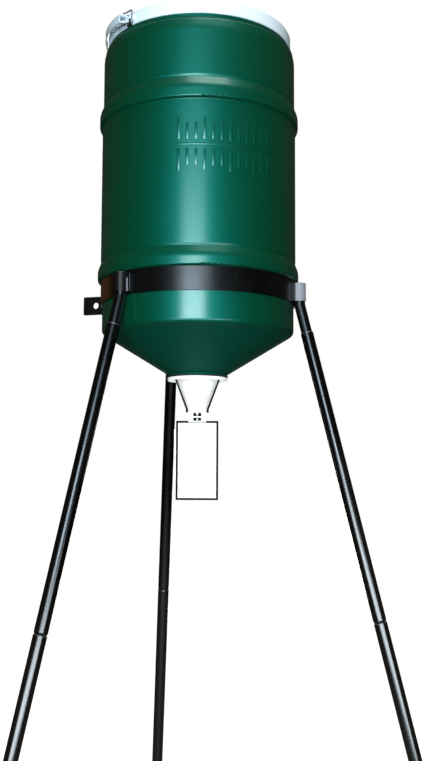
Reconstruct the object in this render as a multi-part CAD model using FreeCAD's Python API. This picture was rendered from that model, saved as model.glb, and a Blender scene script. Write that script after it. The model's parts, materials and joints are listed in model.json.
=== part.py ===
import FreeCAD, Part
import math
import os
from FreeCAD import Vector

os.makedirs("parts", exist_ok=True)

# A tripod game feeder. Millimetres and degrees, +Z up. The origin is on the ground, on the
# barrel's axis. An azimuth is counted about +Z from -Y, positive towards +X.

# --- legs -----------------------------------------------------------------
SECTIONS = 3                # tubes in each leg
SECTION_L = 700.0           # showing length of one tube
LEG_OD = 30.8
LEG_WALL = 2.0
SLIP_GAP = 0.1              # radial clearance of a spigot in its socket
SPIGOT_L = 60.0             # length of a spigot inside the next tube
SWAGE_L = 6.0               # length of the shoulder that leads to a spigot
JOINT_GAP = 0.4             # from the shoulder to the next tube's mouth
SPLAY = 14.22               # lean of a leg from the vertical
LEAN_TURN = -7.7            # turn of the lean from straight outwards
LEGS = {"left": -44.43, "right": 75.57, "rear": -164.43}

# --- feet -----------------------------------------------------------------
FOOT_T = 5.0
FOOT_W = 50.0
FOOT_INNER = 26.0           # plate's reach inwards of the leg
STAKE_OFF = 38.0            # stake hole outboard of the leg
STAKE_R = 6.5
FOOT_MARGIN = 16.0          # from the stake hole's centre to the plate's outer edge
FOOT_CORNER = 8.0

# --- support band ---------------------------------------------------------
BAND_H = 55.0
BAND_T = 3.2
BAND_GAP = 1.0              # radial clearance round the barrel
STUB_WALL = 1.5
STUB_TOP_DROP = 7.0         # stub's top below the band's top edge
BEND_UP = -2.0               # bend's corner above the band's bottom edge
BEND_R = 60.0
STUB_L = 74.0               # showing length of a stub below its bend
CAP_T = 2.0
CAP_PLUG_L = 10.0
SADDLE_T = 2.0              # sheet of the saddle round a stub
SADDLE_H = 44.0
SADDLE_RISE = 5.0           # saddle's lower edge above the band's
TAB_AZ = -108.0
TAB_T = 4.8
TAB_H = 47.0
TAB_OUT = 69.0              # tab's reach from the band
TAB_HOLE_R = 8.0
TAB_HOLE_OUT = 35.0         # hole's centre from the band
TAB_RISE = 15.0              # tab's centre above the band's bottom edge

# --- barrel ---------------------------------------------------------------
LOWER_R = 238.0
MIDDLE_R = 243.0
UPPER_R = 241.0
HOOP_R = 250.0
GROOVE = 1.5                # depth of the groove over each hoop
NECK_R = 226.0
WALL = 4.0
HOOP2_H = 48.0
MIDDLE_H = 342.0
HOOP1_H = 52.0
UPPER_H = 139.0             # from the upper hoop to the shoulder's corner
SHOULDER_DRAW = 4.0         # the shoulder's corner inside the upper body
SHOULDER_H = 21.0
SHOULDER_RISE = 8.0
NECK_H = 32.0
SKIRT_H = 71.0              # barrel below the band, down to the knee
CONE_H = 100.0
OUTLET_R = 74.0
OUTLET_HOLE_R = 50.0
OUTLET_LIP = 3.0
OUTLET_T = 5.0
KNEE_ROUND = 14.0

# --- lid and lock ring ----------------------------------------------------
GASKET_T = 3.5
LID_T = 3.0
LID_GAP = 0.4               # lid's skirt round the neck
LID_SKIRT_H = 29.0
LID_RECESS = 19.0
RING_T = 1.2
RING_GAP = 0.3
RING_H = 32.0
RING_CURL = 9.0             # width of the ring's upper curl
RING_ROUND = 4.0
NECK_SHOW = 8.0             # neck that shows under the ring

# --- lever latch on the ring ----------------------------------------------
GAP_AZ = -47.0              # middle of the ring's split
SPLIT = 5.0                 # opening of the split, degrees
PIVOT_OUT = 11.0            # lever pivot's distance from the ring
PIVOT_T = 10.0              # lever pivot's distance along the ring from the split's middle
PIN_R = 2.5
PIN_GAP = 0.06
EAR_T = 2.0
LEVER_H = 20.0
LEVER_T = 2.0
LEVER_OUT = 21.0            # lever's outer face from the ring, at the pivot
LEVER_TIP_AZ = -88.0
LEVER_TIP_OUT = 5.0
BAIL_OUT = 12.0
BAIL_T = 30.0               # bail's pivot along the ring from the split's middle
BAIL_R = 1.9
BAIL_REACH = 19.0           # bail's cross-bar on the other side of the split
HOOK_T = 3.0
RIVET_R = 2.2

# --- funnel ---------------------------------------------------------------
OUTLET_SEAL_T = 4.0
SEAL_PROUD = 1.5            # outlet seal's edge beyond the barrel and the funnel
SHEET = 1.2
FUNNEL_TOP_R = 51.0
FUNNEL_LIP_H = 8.0
FUNNEL_H = 86.0
MOUTH_R = 23.0
SPOUT_H = 8.0
SEAM_T = 3.0
SEAM_OUT = 5.0
SCREW_R = 2.5
SCREW_CIRCLE_R = 65.0
SCREW_HEAD_R = 4.6

# --- spinner --------------------------------------------------------------
PLATE_DROP = 11.5           # spinner plate's top under the funnel's mouth
PLATE_R = 45.0
PLATE_T = 1.5
VANE_H = 8.0
VANE_T = 1.5
VANES = 4
HUB_R = 10.0
HUB_NECK_R = 6.0
SHAFT_R = 3.0
HUB_FOOT_GAP = 1.2          # hub above the box

# --- control box ----------------------------------------------------------
BOX_DROP = 23.0             # box top under the funnel's mouth
BOX_W = 102.0
BOX_D = 104.0
BOX_H = 190.0
BOX_LIP = 9.0
BOX_ROUND = 3.0
SEAL_T = 2.0
TRIM_W = 5.0
TRIM_T = 1.6
NOTCH_W = 42.0              # finger notch in the top of the trim
NOTCH_H = 3.4
HINGE_R = 2.2
HINGE_PIN_R = 1.1
HINGE_GAP = 0.3
KNUCKLES = 5
HINGE_L = 150.0
STRAP_X = 15.0
STRAP_W = 9.0
STRAP_T = 1.6
STRAP_Y = 50.0              # inner face of a strap from the axis
STRAP_FOOT = 12.0
STRAP_HEAD = 8.0            # flat upper end of a strap
RIVET_IN = 5.5              # lower rivet inwards of a strap's inner face
RIVET_OUT = 14.0            # upper rivet outwards of it
MOTOR_R = 18.0
MOTOR_H = 55.0
SHAFT_SEAL_T = 2.0
MOTOR_SCREW_X = 14.5
BATTERY = (66.0, 66.0, 100.0)
TIMER = (70.0, 20.0, 52.0)
KNOB_R = 7.0
KNOB_H = 5.0
CAM_L = 11.5
CAM_W = 9.0
CAM_T = 2.0
LOCK_INSET = 15.5           # lock's centre from the door's free edge

# --- places worked out from the sizes above -------------------------------
SPLAY_RAD = math.radians(SPLAY)
TURN_RAD = math.radians(LEAN_TURN)
LEAN = Vector(math.sin(SPLAY_RAD) * math.sin(TURN_RAD),
              -math.sin(SPLAY_RAD) * math.cos(TURN_RAD),
              -math.cos(SPLAY_RAD))
LEG_L = STUB_L + SECTIONS * SECTION_L
STUB_OD = LEG_OD - 2 * LEG_WALL - 2 * SLIP_GAP
BAND_IN = LOWER_R + BAND_GAP
BAND_OUT = BAND_IN + BAND_T
STUB_R = BAND_OUT + STUB_OD / 2
BAND_Z = FOOT_T + LEG_L * math.cos(SPLAY_RAD) - BEND_UP
BAND_TOP = BAND_Z + BAND_H
HOOP2_TOP = BAND_TOP + HOOP2_H
HOOP1_Z = HOOP2_TOP + MIDDLE_H
HOOP1_TOP = HOOP1_Z + HOOP1_H
SHOULDER_Z = HOOP1_TOP + UPPER_H
NECK_Z = SHOULDER_Z + SHOULDER_RISE
RIM_Z = NECK_Z + NECK_H
KNEE_Z = BAND_Z - SKIRT_H
OUTLET_Z = KNEE_Z - CONE_H - OUTLET_LIP
RING_Z = NECK_Z + NECK_SHOW
RING_TOP = RING_Z + RING_H
SKIRT_R = NECK_R + LID_GAP + LID_T
RING_IN = SKIRT_R + RING_GAP
RING_OUT = RING_IN + RING_T
FUNNEL_Z = OUTLET_Z - OUTLET_SEAL_T
MOUTH_Z = FUNNEL_Z - FUNNEL_H
PLATE_Z = MOUTH_Z - PLATE_DROP
BOX_TOP = MOUTH_Z - BOX_DROP
BOX_Z = BOX_TOP - BOX_H
DOOR_Y = -BOX_D / 2 - SEAL_T


def corner_edges(corners):
    """Edges of a closed outline of (across, up, round) corners, each rounded by its radius."""
    points = [Vector(a, 0, b) for a, b, _ in corners]
    count = len(points)
    ends = []
    for i, (_, _, radius) in enumerate(corners):
        here = points[i]
        back = (points[i - 1] - here).normalize()
        ahead = (points[(i + 1) % count] - here).normalize()
        if radius <= 0:
            ends.append((here, None, here))
            continue
        half = back.getAngle(ahead) / 2
        reach = radius / math.tan(half)
        middle = (back + ahead).normalize()
        centre = here + middle * (radius / math.sin(half))
        ends.append((here + back * reach, centre - middle * radius, here + ahead * reach))
    edges = []
    for i, (start, mid, end) in enumerate(ends):
        if mid is not None:
            edges.append(Part.Arc(start, mid, end).toShape())
        after = ends[(i + 1) % count][0]
        if end.distanceToPoint(after) > 1e-6:
            edges.append(Part.makeLine(end, after))
    return edges


def outline(corners):
    """A flat face in the XZ plane."""
    return Part.Face(Part.Wire(Part.__sortEdges__(corner_edges(corners))))


def lathe(corners):
    """A solid turned about the Z axis."""
    return outline(corners).revolve(Vector(0, 0, 0), Vector(0, 0, 1), 360)


def turned(shape, azimuth):
    """A copy of a shape, turned about the Z axis."""
    copy = shape.copy()
    copy.rotate(Vector(0, 0, 0), Vector(0, 0, 1), azimuth)
    return copy


def moved(shape, x, y, z):
    copy = shape.copy()
    copy.translate(Vector(x, y, z))
    return copy


def rod(radius, start, along, length):
    return Part.makeCylinder(radius, length, start, along)


def box(x0, x1, y0, y1, z0, z1):
    return Part.makeBox(x1 - x0, y1 - y0, z1 - z0, Vector(x0, y0, z0))


def frame(x0, x1, y0, y1, z0, z1, width):
    """An upright rectangular frame, facing along Y."""
    hole = box(x0 + width, x1 - width, y0 - 1, y1 + 1, z0 + width, z1 - width)
    return box(x0, x1, y0, y1, z0, z1).cut(hole)


def thick_path(points, thickness):
    """A strip outline in the YZ plane that follows a centre line of (y, z) points."""
    sides = [[], []]
    for i, (y, z) in enumerate(points):
        here = Vector(0, y, z)
        before = Vector(0, *points[max(i - 1, 0)])
        after = Vector(0, *points[min(i + 1, len(points) - 1)])
        ways = [w.normalize() for w in (here - before, after - here) if w.Length > 0]
        normals = [Vector(0, -w.z, w.y) for w in ways]
        middle = sum(normals, Vector()).normalize()
        offset = thickness / 2 / middle.dot(normals[0])
        sides[0].append(here + middle * offset)
        sides[1].append(here - middle * offset)
    loop = sides[0] + sides[1][::-1]
    return Part.Face(Part.makePolygon(loop + loop[:1]))


def ring_sector(inner, outer, z0, z1, azimuth, spread):
    """A block between two radii, centred on an azimuth."""
    block = Part.makeCylinder(outer, z1 - z0, Vector(0, 0, z0), Vector(0, 0, 1), spread)
    block = block.cut(Part.makeCylinder(inner, z1 - z0, Vector(0, 0, z0)))
    return turned(block, azimuth - 90 - spread / 2)


def along_ring(t, out):
    """A point beside the split ring: t along it to the lever's side, out from its face."""
    azimuth = math.radians(GAP_AZ) - t / RING_OUT
    radius = RING_OUT + out
    return Vector(radius * math.sin(azimuth), -radius * math.cos(azimuth), 0)


def edges_at(shape, z):
    """Level edges of a shape at a height."""
    return [e for e in shape.Edges if abs(e.BoundBox.ZMin - z) < 0.01 and e.BoundBox.ZLength < 0.01]


def edges_long(shape, length):
    """Edges of a shape that have a length."""
    return [e for e in shape.Edges if abs(e.Length - length) < 0.01]


def save(node, *solids):
    shape = solids[0] if len(solids) == 1 else Part.makeCompound(list(solids))
    for solid in shape.Solids:
        if not solid.isValid() or solid.Volume <= 0:
            raise ValueError(node + " has a bad solid")
    shape.exportStep("parts/" + node + ".step")
    print(node, len(shape.Solids), round(shape.Volume))


# --- barrel ---------------------------------------------------------------
def barrel():
    """A blow-moulded barrel with two rolling hoops, a shoulder, a neck and a cone."""
    outer = [
        (OUTLET_R, OUTLET_Z, 1.0),
        (OUTLET_R, OUTLET_Z + OUTLET_LIP, 2.0),
        (LOWER_R, KNEE_Z, KNEE_ROUND),
        (LOWER_R, BAND_TOP, 0.6),
        (HOOP_R, BAND_TOP, 6.0),
        (HOOP_R, BAND_TOP + HOOP2_H * 0.55, 30.0),
        (MIDDLE_R - GROOVE, HOOP2_TOP, 3.0),
        (MIDDLE_R, HOOP2_TOP + 5.0, 4.0),
        (MIDDLE_R, HOOP1_Z - 1.0, 2.0),
        (HOOP_R, HOOP1_Z + 1.0, 5.0),
        (HOOP_R, HOOP1_Z + HOOP1_H * 0.55, 30.0),
        (UPPER_R - GROOVE, HOOP1_TOP, 3.0),
        (UPPER_R, HOOP1_TOP + 5.0, 4.0),
        (UPPER_R, SHOULDER_Z - SHOULDER_H, 60.0),
        (UPPER_R - SHOULDER_DRAW, SHOULDER_Z, 4.0),
        (NECK_R, NECK_Z, 3.0),
        (NECK_R, RIM_Z, 1.0),
    ]
    inner = [
        (NECK_R - WALL, RIM_Z, 0),
        (NECK_R - WALL, NECK_Z - WALL, 0),
        (UPPER_R - SHOULDER_DRAW - WALL, SHOULDER_Z - WALL, 0),
        (UPPER_R - WALL, SHOULDER_Z - SHOULDER_H, 0),
        (UPPER_R - WALL, HOOP1_TOP + 5.0, 0),
        (UPPER_R - GROOVE - WALL, HOOP1_TOP, 0),
        (HOOP_R - WALL, HOOP1_Z + HOOP1_H * 0.55, 0),
        (HOOP_R - WALL, HOOP1_Z + 1.0 + WALL, 0),
        (MIDDLE_R - WALL, HOOP1_Z - 1.0 + WALL, 0),
        (MIDDLE_R - WALL, HOOP2_TOP + 5.0, 0),
        (MIDDLE_R - GROOVE - WALL, HOOP2_TOP, 0),
        (HOOP_R - WALL, BAND_TOP + HOOP2_H * 0.55, 0),
        (HOOP_R - WALL, BAND_TOP + WALL, 0),
        (LOWER_R - WALL, BAND_TOP + WALL - 1.0, 0),
        (LOWER_R - WALL, KNEE_Z + WALL / 2, KNEE_ROUND - WALL),
        (OUTLET_R - WALL, OUTLET_Z + OUTLET_T, 0),
        (OUTLET_HOLE_R, OUTLET_Z + OUTLET_T, 0),
        (OUTLET_HOLE_R, OUTLET_Z, 0),
    ]
    shell = lathe(outer + inner)
    for screw in flange_screw_places():
        shell = shell.cut(rod(SCREW_R, screw, Vector(0, 0, 1), OUTLET_T + OUTLET_SEAL_T + 5))
    save("barrel", shell)


def flange_screw_places():
    """Points under the funnel's flange, on the screw circle."""
    places = []
    for i in range(4):
        azimuth = math.radians(45 + 90 * i)
        x = SCREW_CIRCLE_R * math.sin(azimuth)
        y = -SCREW_CIRCLE_R * math.cos(azimuth)
        places.append(Vector(x, y, FUNNEL_Z - SHEET))
    return places


# --- lid, gasket and lock ring --------------------------------------------
def lid():
    """A plastic lid: skirt outside the neck, raised rim over it, recessed middle."""
    top = RIM_Z + GASKET_T + LID_T
    recess_r = NECK_R - WALL - 1.0
    save("lid", lathe([
        (0, top - LID_RECESS, 0),
        (recess_r - LID_T, top - LID_RECESS, 4.0),
        (recess_r - LID_T, top, 2.0),
        (SKIRT_R, top, RING_ROUND - RING_T - RING_GAP),
        (SKIRT_R, top - LID_SKIRT_H, 1.0),
        (SKIRT_R - LID_T, top - LID_SKIRT_H, 1.0),
        (SKIRT_R - LID_T, top - LID_T, 0.5),
        (recess_r, top - LID_T, 0.5),
        (recess_r, top - LID_RECESS - LID_T, 5.0),
        (0, top - LID_RECESS - LID_T, 0),
    ]))
    save("lid_gasket", lathe([
        (NECK_R - WALL + 0.2, RIM_Z, 0),
        (NECK_R, RIM_Z, 0),
        (NECK_R, RIM_Z + GASKET_T, 0.8),
        (NECK_R - WALL + 0.2, RIM_Z + GASKET_T, 0.8),
    ]))


def lock_ring():
    """A rolled steel ring of C section, split where its lever latch closes it."""
    curl_in = NECK_R + 0.8
    inner_round = RING_ROUND - RING_T
    top_in = RING_OUT - RING_CURL
    ring = lathe([
        (curl_in, RING_Z, 0.3),
        (RING_OUT, RING_Z, 2.5),
        (RING_OUT, RING_TOP, RING_ROUND),
        (top_in, RING_TOP, 0.3),
        (top_in, RING_TOP - RING_T, 0.3),
        (RING_IN, RING_TOP - RING_T, inner_round),
        (RING_IN, RING_Z + RING_T, 1.0),
        (curl_in, RING_Z + RING_T, 0.3),
    ])
    split = ring_sector(curl_in - 1, RING_OUT + 1, RING_Z - 1, RING_TOP + 1, GAP_AZ, SPLIT)
    save("lock_ring", ring.cut(split))


# --- latch ----------------------------------------------------------------
LATCH_MID = RING_Z + RING_H / 2
LEVER_Z = LATCH_MID - LEVER_H / 2
EAR_LOW = LEVER_Z + LEVER_T + 0.3
EAR_HIGH = LEVER_Z + LEVER_H - LEVER_T - 0.3 - EAR_T
BAIL_Z = 2.0 + BAIL_R       # bail arm's centre outside the lever's flange


def plan_face(points, z):
    """A flat face at a height, inside a closed run of points."""
    raised = [Vector(p.x, p.y, z) for p in points]
    return Part.Face(Part.makePolygon(raised + raised[:1]))


def ring_bracket():
    """A pressed clevis on one end of the ring, with an ear above and below."""
    pivot = along_ring(PIVOT_T, PIVOT_OUT)
    half = 9.0
    base_az = GAP_AZ - math.degrees(PIVOT_T / RING_OUT)
    spread = math.degrees(2 * half / RING_OUT)
    base = ring_sector(RING_OUT + 0.05, RING_OUT + 1.55, EAR_LOW, EAR_HIGH + EAR_T,
                       base_az, spread)
    solid = base
    for z in (EAR_LOW, EAR_HIGH):
        web = plan_face([
            along_ring(PIVOT_T - half, 0.5),
            along_ring(PIVOT_T - 5.0, PIVOT_OUT),
            along_ring(PIVOT_T + 5.0, PIVOT_OUT),
            along_ring(PIVOT_T + half, 0.5),
        ], z).extrude(Vector(0, 0, EAR_T))
        eye = rod(5.0, Vector(pivot.x, pivot.y, z), Vector(0, 0, 1), EAR_T)
        solid = solid.fuse(web.fuse(eye))
    solid = solid.cut(Part.makeCylinder(RING_OUT + 0.05, 60, Vector(0, 0, LEVER_Z - 20)))
    solid = solid.cut(rod(PIN_R, Vector(pivot.x, pivot.y, LEVER_Z), Vector(0, 0, 1), LEVER_H))
    save("ring_bracket", solid.removeSplitter())
    head = rod(PIN_R + 1.5, Vector(pivot.x, pivot.y, LEVER_Z - 1.5), Vector(0, 0, 1), 1.2)
    shank = rod(PIN_R, Vector(pivot.x, pivot.y, LEVER_Z - 1.5), Vector(0, 0, 1), LEVER_H + 3.0)
    tail = rod(PIN_R + 1.0, Vector(pivot.x, pivot.y, LEVER_Z + LEVER_H + 0.3), Vector(0, 0, 1), 1.2)
    save("latch_pivot_pin", head.fuse(shank).fuse(tail).removeSplitter())


def latch_lever():
    """A pressed channel: a curved strip that follows the ring, with a flange above and below."""
    pivot = along_ring(PIVOT_T, PIVOT_OUT)
    tip_t = math.radians(GAP_AZ - LEVER_TIP_AZ) * RING_OUT
    mid_t = (PIVOT_T + tip_t) / 2
    mid_out = (LEVER_OUT + LEVER_TIP_OUT) / 2 + 1.0
    outer = [along_ring(PIVOT_T, LEVER_OUT), along_ring(mid_t, mid_out),
             along_ring(tip_t, LEVER_TIP_OUT)]
    inner = [along_ring(PIVOT_T, LEVER_OUT - LEVER_T), along_ring(mid_t, mid_out - LEVER_T),
             along_ring(tip_t, LEVER_TIP_OUT - LEVER_T)]
    wire = Part.Wire([
        Part.Arc(*outer).toShape(), Part.makeLine(outer[2], inner[2]),
        Part.Arc(*inner[::-1]).toShape(), Part.makeLine(inner[0], outer[0]),
    ])
    strip = Part.Face(wire)
    strip.translate(Vector(0, 0, LEVER_Z))
    solid = strip.extrude(Vector(0, 0, LEVER_H))
    tail_t = PIVOT_T + 60.0
    for z in (LEVER_Z, LEVER_Z + LEVER_H - LEVER_T):
        flange = plan_face([
            along_ring(PIVOT_T, LEVER_OUT - 0.5),
            along_ring(PIVOT_T - 6.0, PIVOT_OUT),
            along_ring(PIVOT_T, PIVOT_OUT - 6.0),
            along_ring(BAIL_T, BAIL_OUT - 6.0),
            along_ring(tail_t, 11.0),
            along_ring(tail_t, 15.5),
            along_ring(PIVOT_T + 30.0, 18.3),
        ], z).extrude(Vector(0, 0, LEVER_T))
        eye = rod(6.0, Vector(pivot.x, pivot.y, z), Vector(0, 0, 1), LEVER_T)
        solid = solid.fuse(flange.fuse(eye))
    bail = along_ring(BAIL_T, BAIL_OUT)
    for point, radius in ((pivot, PIN_R), (bail, BAIL_R)):
        hole = rod(radius + PIN_GAP, Vector(point.x, point.y, LEVER_Z - 1), Vector(0, 0, 1),
                   LEVER_H + 2)
        solid = solid.cut(hole)
    save("latch_lever", solid.removeSplitter())


def latch_bail():
    """A bent wire loop: pivots in the lever and pulls on the hook across the split."""
    near = along_ring(BAIL_T, BAIL_OUT)
    far = along_ring(-BAIL_REACH, BAIL_OUT - 3.0)
    low = LEVER_Z - BAIL_Z
    high = LEVER_Z + LEVER_H + BAIL_Z
    stub = BAIL_Z + LEVER_T - 0.2
    reach = far - near
    solid = None
    for z, inward in ((low, 1), (high, -1)):
        start = Vector(near.x, near.y, z)
        pieces = [
            rod(BAIL_R, start, Vector(0, 0, inward), stub),
            rod(BAIL_R, start, reach, reach.Length),
            Part.makeSphere(BAIL_R, start),
            Part.makeSphere(BAIL_R, Vector(far.x, far.y, z)),
        ]
        for piece in pieces:
            solid = piece if solid is None else solid.fuse(piece)
    bar = rod(BAIL_R, Vector(far.x, far.y, low), Vector(0, 0, 1), high - low)
    save("latch_bail", solid.fuse(bar).removeSplitter())


def ring_hook():
    """A bent plate on the other end of the ring; the bail's cross-bar sits behind it."""
    seat = -BAIL_REACH + BAIL_R + 0.3
    low = LATCH_MID - 7.0
    base_t = seat + HOOK_T / 2 + 1.0
    base_az = GAP_AZ - math.degrees(base_t / RING_OUT)
    base = ring_sector(RING_OUT + 0.05, RING_OUT + 1.55, low, low + 14.0, base_az,
                       math.degrees((HOOK_T + 10.0) / RING_OUT))
    post = plan_face([
        along_ring(seat, 1.0),
        along_ring(seat, BAIL_OUT + 1.0),
        along_ring(seat + HOOK_T, BAIL_OUT + 1.0),
        along_ring(seat + HOOK_T, 1.0),
    ], low).extrude(Vector(0, 0, 14.0))
    save("ring_hook", base.fuse(post).removeSplitter())


# --- band, stubs, cheeks and tab ------------------------------------------
def support_band():
    band = Part.makeCylinder(BAND_OUT, BAND_H, Vector(0, 0, BAND_Z))
    save("support_band", band.cut(Part.makeCylinder(BAND_IN, BAND_H, Vector(0, 0, BAND_Z))))
    low = BAND_Z + TAB_RISE - TAB_H / 2
    tab = box(-TAB_T / 2, TAB_T / 2, -BAND_OUT - TAB_OUT, -BAND_OUT, low, low + TAB_H)
    outer = [e for e in tab.Edges if abs(e.CenterOfMass.y + BAND_OUT + TAB_OUT) < 0.1
             and e.Length < TAB_T + 0.1]
    tab = tab.makeFillet(3.0, outer)
    hole = rod(TAB_HOLE_R, Vector(-TAB_T, -BAND_OUT - TAB_HOLE_OUT, BAND_Z + TAB_RISE),
               Vector(1, 0, 0), 2 * TAB_T)
    save("accessory_tab", turned(tab.cut(hole), TAB_AZ))


STUB_CORNER = Vector(0, -STUB_R, BAND_Z + BEND_UP)


def stub_path(reach):
    """The centre line of a stub: up the band, round its bend, and down the leg's line."""
    up = Vector(0, 0, 1)
    middle = (up + LEAN).normalize()
    tangent = BEND_R * math.tan(SPLAY_RAD / 2)
    centre = STUB_CORNER + middle * (BEND_R / math.cos(SPLAY_RAD / 2))
    top = Vector(0, -STUB_R, BAND_TOP - STUB_TOP_DROP)
    start = STUB_CORNER + up * tangent
    end = STUB_CORNER + LEAN * tangent
    return Part.Wire([
        Part.makeLine(top, start),
        Part.Arc(start, centre - middle * BEND_R, end).toShape(),
        Part.makeLine(end, STUB_CORNER + LEAN * reach),
    ])


def swept(path, radius):
    top = path.OrderedVertexes[0].Point
    circle = Part.Wire(Part.makeCircle(radius, top, Vector(0, 0, -1)))
    return path.makePipeShell([circle], True, False)


def saddle():
    """A bent strip round a stub, both its ends welded to the band."""
    low = BAND_Z + SADDLE_RISE
    bore = STUB_OD / 2 + SLIP_GAP
    outer = bore + SADDLE_T
    middle = Vector(0, -STUB_R, low)
    solid = Part.makeCylinder(outer, SADDLE_H, middle)
    solid = solid.fuse(box(-outer, outer, -STUB_R, -BAND_IN, low, low + SADDLE_H))
    solid = solid.cut(Part.makeCylinder(bore, SADDLE_H, middle))
    solid = solid.cut(box(-bore, bore, -STUB_R, -BAND_IN, low, low + SADDLE_H))
    return solid.cut(Part.makeCylinder(BAND_OUT, SADDLE_H, Vector(0, 0, low))).removeSplitter()


def leg_stubs():
    """A bent tube up the band for each leg, with a plug in its top and a saddle round it."""
    path = stub_path(STUB_L + SPIGOT_L)
    outer = swept(path, STUB_OD / 2)
    inner = swept(path, STUB_OD / 2 - STUB_WALL)
    stub = Part.makeSolid(outer).cut(Part.makeSolid(inner))
    top = BAND_TOP - STUB_TOP_DROP
    head = Part.makeCylinder(STUB_OD / 2, CAP_T, Vector(0, -STUB_R, top))
    head = head.makeFillet(CAP_T * 0.7, edges_at(head, top + CAP_T))
    plug = Part.makeCylinder(STUB_OD / 2 - STUB_WALL, CAP_PLUG_L,
                             Vector(0, -STUB_R, top - CAP_PLUG_L))
    cap = head.fuse(plug).removeSplitter()
    for side, azimuth in LEGS.items():
        save("leg_stub_" + side, turned(stub, azimuth))
        save("stub_saddle_" + side, turned(saddle(), azimuth))
    save("stub_caps", *[turned(cap, azimuth) for azimuth in LEGS.values()])


# --- legs and feet --------------------------------------------------------
def leg_tube(last):
    """One tube, hung down -Z from its mouth; all but the last end in a swaged spigot."""
    outer = LEG_OD / 2
    bore = outer - LEG_WALL
    spigot = STUB_OD / 2
    if last:
        return lathe([
            (bore, -JOINT_GAP, 0), (outer, -JOINT_GAP, 0.5),
            (outer, -SECTION_L - LEG_OD, 0), (bore, -SECTION_L - LEG_OD, 0),
        ])
    return lathe([
        (bore, -JOINT_GAP, 0),
        (outer, -JOINT_GAP, 0.5),
        (outer, -SECTION_L + SWAGE_L, 2.0),
        (spigot, -SECTION_L, 2.0),
        (spigot, -SECTION_L - SPIGOT_L, 0),
        (spigot - LEG_WALL, -SECTION_L - SPIGOT_L, 0),
        (spigot - LEG_WALL, -SECTION_L, 2.0),
        (bore, -SECTION_L + SWAGE_L, 2.0),
    ])


def on_leg_line(shape, distance):
    """A shape built down -Z, laid on the leg's line at a distance from the stub's corner."""
    copy = shape.copy()
    spin = FreeCAD.Rotation(Vector(0, 0, -1), LEAN)
    copy.Placement = FreeCAD.Placement(STUB_CORNER + LEAN * distance, spin)
    return copy


def legs():
    ground = Part.makeBox(4000, 4000, 200, Vector(-2000, -2000, FOOT_T - 200))
    for i, level in enumerate(("upper", "middle", "lower")):
        last = i == SECTIONS - 1
        tube = on_leg_line(leg_tube(last), STUB_L + i * SECTION_L)
        if last:
            tube = tube.cut(ground)
        for side, azimuth in LEGS.items():
            save(side + "_leg_" + level, turned(tube, azimuth))


def feet():
    """A flat plate welded under each leg, with a stake hole outboard of the tube."""
    toe = STUB_CORNER + LEAN * LEG_L
    radius = math.hypot(toe.x, toe.y)
    toe_az = math.degrees(math.atan2(toe.x, -toe.y))
    plate = box(-FOOT_W / 2, FOOT_W / 2, -radius - STAKE_OFF - FOOT_MARGIN,
                -radius + FOOT_INNER, 0, FOOT_T)
    plate = plate.makeFillet(FOOT_CORNER, edges_long(plate, FOOT_T))
    hole = rod(STAKE_R, Vector(0, -radius - STAKE_OFF, -1), Vector(0, 0, 1), FOOT_T + 2)
    plate = plate.cut(hole)
    for side, azimuth in LEGS.items():
        save("foot_" + side, turned(plate, azimuth + toe_az))


# --- funnel ---------------------------------------------------------------
def funnel():
    """A spun funnel with a flat flange, its outer edge turned down."""
    top = FUNNEL_Z
    neck = MOUTH_Z + SPOUT_H
    solid = lathe([
        (FUNNEL_TOP_R - SHEET, top, 1.0),
        (OUTLET_R, top, 2.0),
        (OUTLET_R, top - FUNNEL_LIP_H, 0.3),
        (OUTLET_R - SHEET, top - FUNNEL_LIP_H, 0.3),
        (OUTLET_R - SHEET, top - SHEET, 0.8),
        (FUNNEL_TOP_R, top - SHEET, 2.2),
        (MOUTH_R, neck, 1.5),
        (MOUTH_R, MOUTH_Z, 0.3),
        (MOUTH_R - SHEET, MOUTH_Z, 0.3),
        (MOUTH_R - SHEET, neck + 0.3, 1.5),
    ])
    for screw in flange_screw_places():
        solid = solid.cut(rod(SCREW_R + 0.3, screw - Vector(0, 0, 1), Vector(0, 0, 1), 5))
    for x, y in strap_places():
        rivet = Vector(x, y * (STRAP_Y + RIVET_OUT), top - 2 * SHEET)
        solid = solid.cut(rod(1.6, rivet, Vector(0, 0, 1), 5))
    save("funnel", solid)
    seal = lathe([
        (OUTLET_HOLE_R, top, 0), (OUTLET_R + SEAL_PROUD, top, 1.2),
        (OUTLET_R + SEAL_PROUD, OUTLET_Z, 1.2), (OUTLET_HOLE_R, OUTLET_Z, 0),
    ])
    for screw in flange_screw_places():
        seal = seal.cut(rod(SCREW_R + 0.3, screw, Vector(0, 0, 1), 8))
    save("outlet_seal", seal)
    seam_profile = [
        Vector(FUNNEL_TOP_R + 0.4, 0, top - SHEET - 1.6),
        Vector(FUNNEL_TOP_R + 0.4 + SEAM_OUT, 0, top - SHEET - 1.6),
        Vector(MOUTH_R + 0.4 + SEAM_OUT, 0, neck),
        Vector(MOUTH_R + 0.4 + SEAM_OUT, 0, MOUTH_Z),
        Vector(MOUTH_R + 0.2, 0, MOUTH_Z),
        Vector(MOUTH_R + 0.2, 0, neck),
    ]
    seam = Part.Face(Part.makePolygon(seam_profile + seam_profile[:1]))
    seam = moved(seam, 0, -SEAM_T / 2, 0).extrude(Vector(0, SEAM_T, 0))
    save("funnel_seam_trim", seam, turned(seam, 180))
    screws = []
    for screw in flange_screw_places():
        head = rod(SCREW_HEAD_R, screw - Vector(0, 0, 3), Vector(0, 0, 1), 3)
        head = head.makeFillet(1.2, edges_at(head, screw.z - 3))
        shank = rod(SCREW_R - 0.1, screw, Vector(0, 0, 1), SHEET + OUTLET_SEAL_T + OUTLET_T + 3)
        screws.append(head.fuse(shank).removeSplitter())
    save("flange_screws", *screws)


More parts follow.
